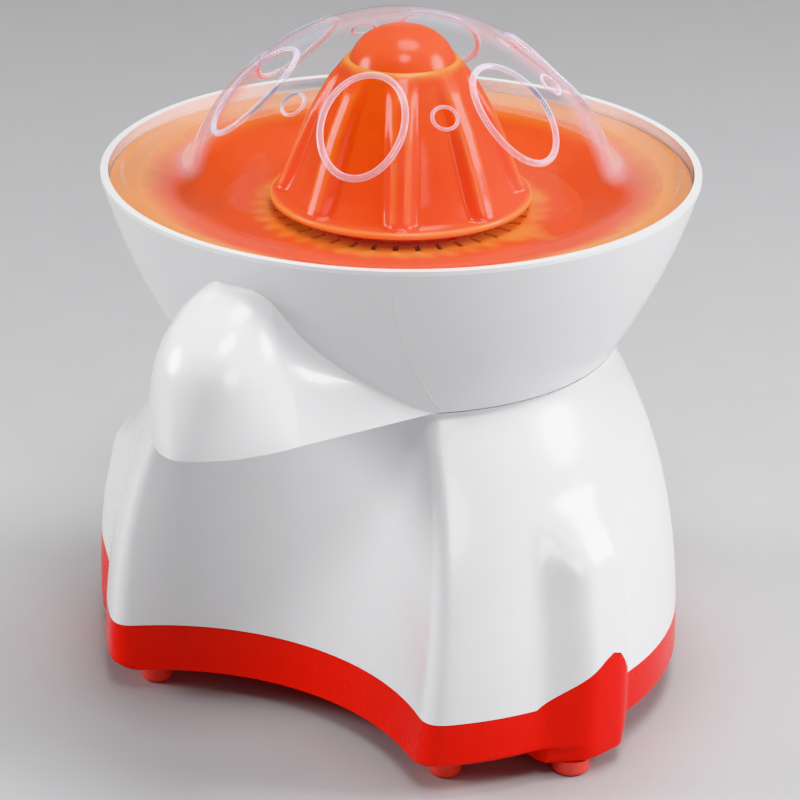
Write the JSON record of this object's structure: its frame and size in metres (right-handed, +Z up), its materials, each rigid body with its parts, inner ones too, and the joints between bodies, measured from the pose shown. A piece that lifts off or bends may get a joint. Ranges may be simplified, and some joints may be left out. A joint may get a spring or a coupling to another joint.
{
  "type": "citrus press juicer",
  "caption": "Electric citrus press: ribbed reamer in a flared bowl with a beaked spout, under a clear domed dust cover, on a bell-shaped housing.",
  "frame": {"origin": "middle of the footprint box on the table; the drive axis stands 14 mm behind it, at +Y", "axes": "+Z up along the drive axis, the spout points to -Y, +X to the right seen from behind the spout's back"},
  "size_m": [0.1892, 0.208, 0.2117],
  "materials": {
    "white_shell": "gloss",
    "red_shell": "gloss",
    "orange_clear": "gloss, translucent",
    "clear_cover": "clear",
    "foot_rubber": "satin",
    "seal_rubber": "matte",
    "bright_steel": "brushed",
    "zinc_steel": "zinc plated",
    "lamination_steel": "laminated",
    "copper_winding": "enamelled wire",
    "bronze_bush": "sintered",
    "gear_nylon": "matte",
    "switch_black": "matte",
    "cord_bush": "matte"
  },
  "bodies": {
    "housing": {"housing": "white_shell", "base_pan": "red_shell", "cord_inlet": "cord_bush", "motor_stator": "lamination_steel", "motor_coils": "copper_winding", "motor_upper_bracket": "zinc_steel", "motor_lower_bracket": "zinc_steel", "gearbox_lower_plate": "zinc_steel", "gearbox_upper_plate": "zinc_steel", "gearbox_spacers": "bright_steel", "lower_bush": "bronze_bush", "upper_bush": "bronze_bush", "shaft_seal": "seal_rubber", "switch_body": "switch_black", "intermediate_axle": "bright_steel", "base_screws": "zinc_steel", "gearbox_screws": "zinc_steel", "foot_front_left": "foot_rubber", "foot_front_right": "foot_rubber", "foot_side_left": "foot_rubber", "foot_side_right": "foot_rubber", "foot_rear_left": "foot_rubber", "foot_rear_right": "foot_rubber"},
    "output": {"output_gear": "gear_nylon", "return_spring": "bright_steel"},
    "shaft": {"drive_shaft": "bright_steel"},
    "reamer": {"small_cone": "orange_clear"},
    "large_cone": {"large_cone": "orange_clear"},
    "intermediate": {"intermediate_gear": "gear_nylon"},
    "rotor": {"motor_rotor": "lamination_steel", "motor_shaft": "bright_steel", "motor_pinion": "gear_nylon"},
    "plunger": {"switch_plunger": "cord_bush"},
    "bowl": {"juice_bowl": "white_shell"},
    "strainer": {"strainer": "orange_clear"},
    "cover": {"dust_cover": "clear_cover"}
  },
  "joints": [
    {"name": "reamer_spin", "type": "hinge", "parent": "housing", "child": "output", "pos_m": [0, 0.014, 0.07], "axis": [0, 0, 1], "continuous": true},
    {"name": "shaft_press", "type": "slide", "parent": "output", "child": "shaft", "axis": [0, 0, 1], "range_m": [-0.0025, 0], "stiffness_N_per_m": 2000, "springref_m": 0.003, "deforming": ["return_spring"]},
    {"name": "reamer_lift", "type": "slide", "parent": "shaft", "child": "reamer", "axis": [0, 0, 1], "range_m": [0, 0.09]},
    {"name": "large_cone_lift", "type": "slide", "parent": "reamer", "child": "large_cone", "axis": [0, 0, 1], "range_m": [0, 0.06]},
    {"name": "intermediate_spin", "type": "hinge", "parent": "housing", "child": "intermediate", "pos_m": [0, 0.05015, 0.07], "axis": [0, 0, 1], "continuous": true},
    {"name": "rotor_spin", "type": "hinge", "parent": "housing", "child": "rotor", "pos_m": [0.02816, 0.04261, 0.05], "axis": [0, 0, 1], "continuous": true},
    {"name": "switch_press", "type": "slide", "parent": "housing", "child": "plunger", "axis": [0, 0, 1], "range_m": [-0.0025, 0]},
    {"name": "bowl_lift", "type": "slide", "parent": "housing", "child": "bowl", "axis": [0, 0, 1], "range_m": [0, 0.09]},
    {"name": "strainer_lift", "type": "slide", "parent": "bowl", "child": "strainer", "axis": [0, 0, 1], "range_m": [0, 0.06]},
    {"name": "cover_lift", "type": "slide", "parent": "strainer", "child": "cover", "axis": [0, 0, 1], "range_m": [0, 0.075]}
  ],
  "couplings": [
    {"joint": "intermediate_spin", "follows": "reamer_spin", "ratio": -5},
    {"joint": "rotor_spin", "follows": "reamer_spin", "ratio": 24},
    {"joint": "switch_press", "follows": "shaft_press", "ratio": 1},
    {"joint": "reamer_lift", "follows": "bowl_lift", "ratio": 1},
    {"joint": "large_cone_lift", "follows": "strainer_lift", "ratio": 1}
  ]
}
